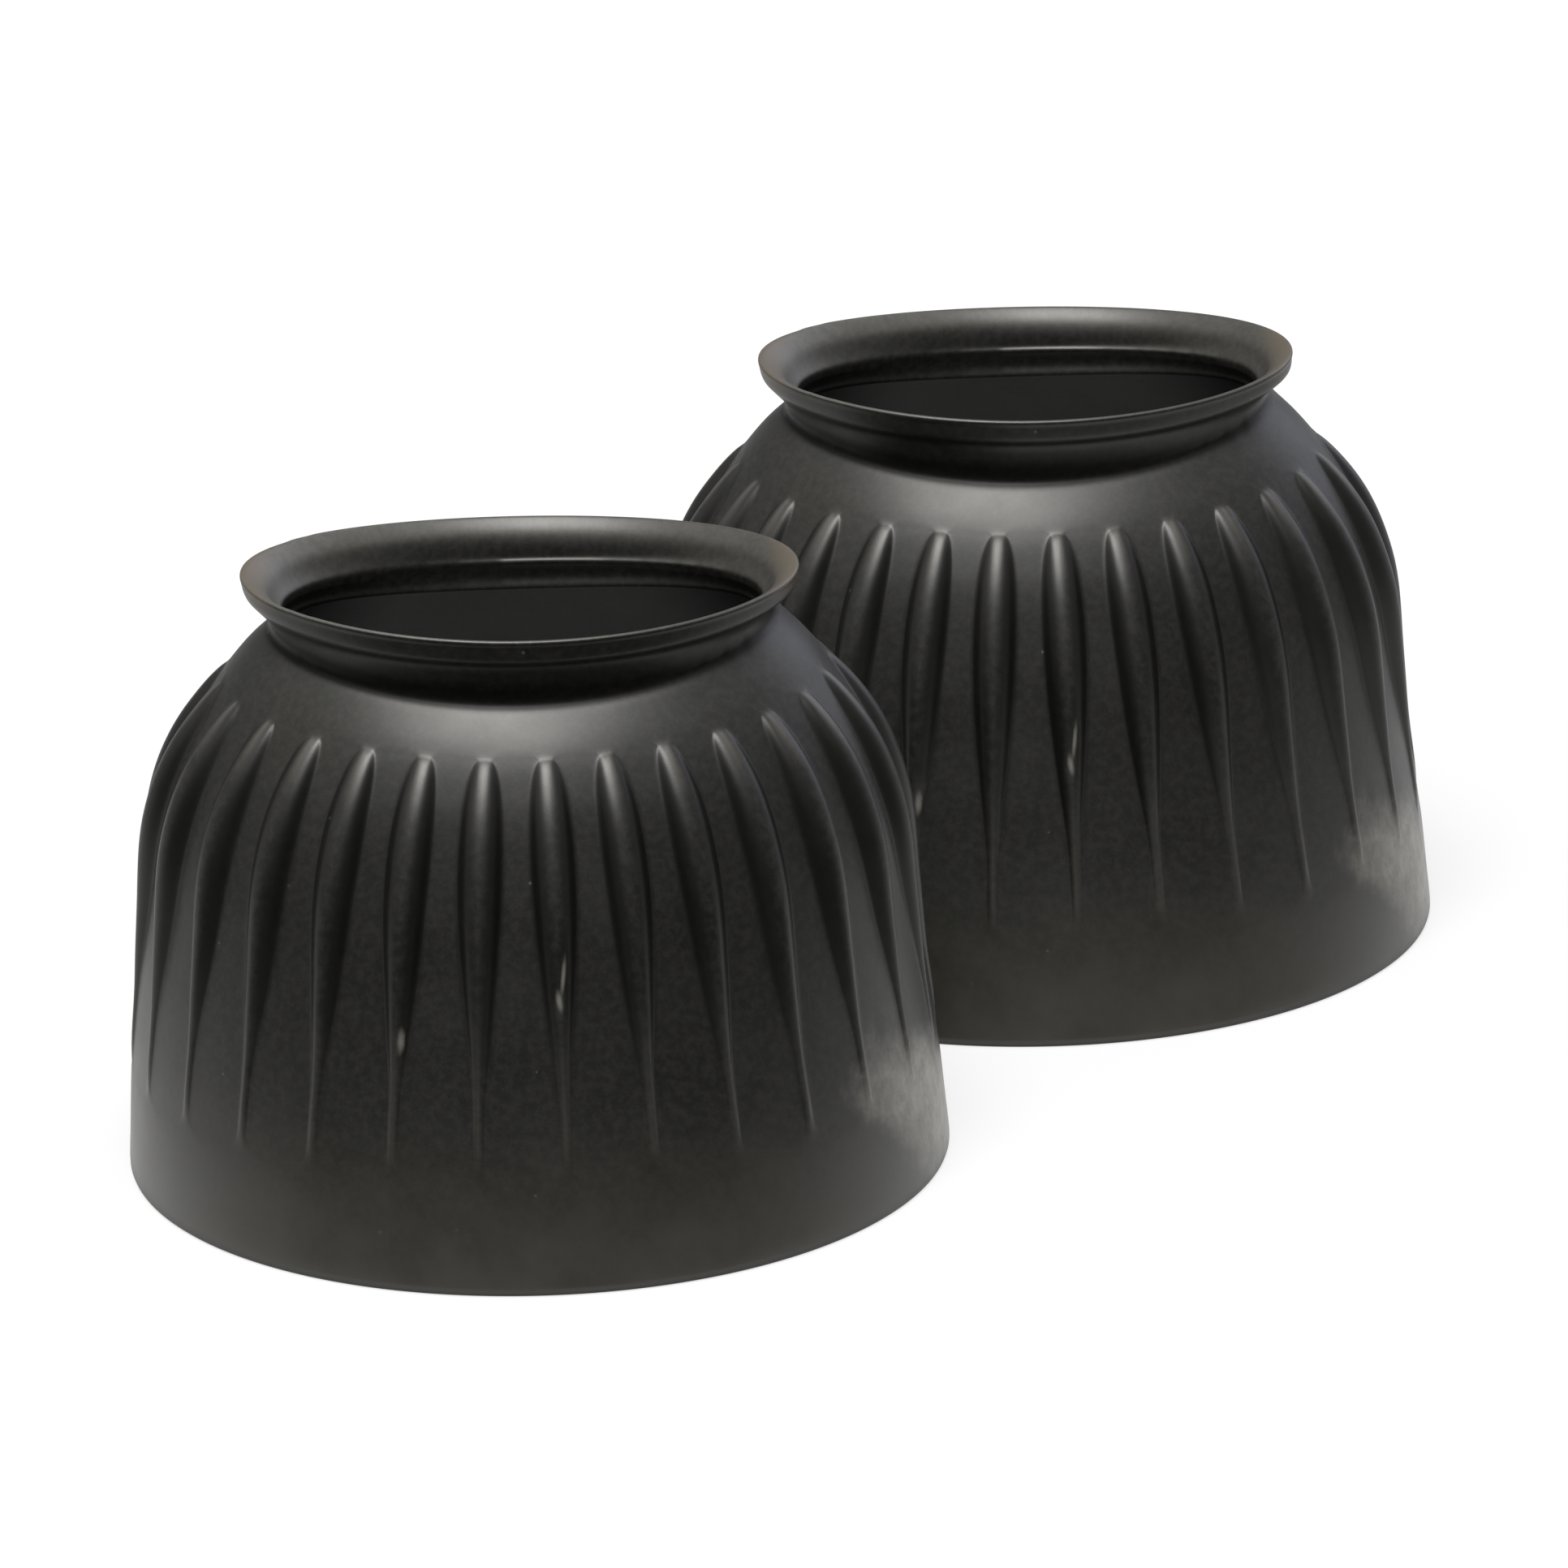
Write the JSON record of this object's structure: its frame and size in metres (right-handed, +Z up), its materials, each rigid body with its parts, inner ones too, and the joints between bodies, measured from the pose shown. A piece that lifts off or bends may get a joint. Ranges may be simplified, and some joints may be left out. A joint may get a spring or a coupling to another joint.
{
  "type": "bell boots",
  "caption": "Pair of black rubber pull-on bell boots for a horse: ribbed bell-shaped skirts with a narrow oval neck and a turned-out lip, open at top and bottom.",
  "frame": {"origin": "on the floor, under the centre of the pair's bounding box", "axes": "+Z up, +X to the right and +Y away from the viewer as the pair stands in the picture; the left boot stands at -X -Y and the right boot at +X +Y"},
  "size_m": [0.2478, 0.2688, 0.1121],
  "materials": {
    "black_moulded_rubber": "satin"
  },
  "bodies": {
    "left_boot": {"left_boot": "black_moulded_rubber"},
    "right_boot": {"right_boot": "black_moulded_rubber"}
  },
  "joints": [
    {"name": "right_boot_lift", "type": "slide", "parent": "left_boot", "child": "right_boot", "axis": [0, 0, 1], "range_m": [0, 0.15]}
  ]
}
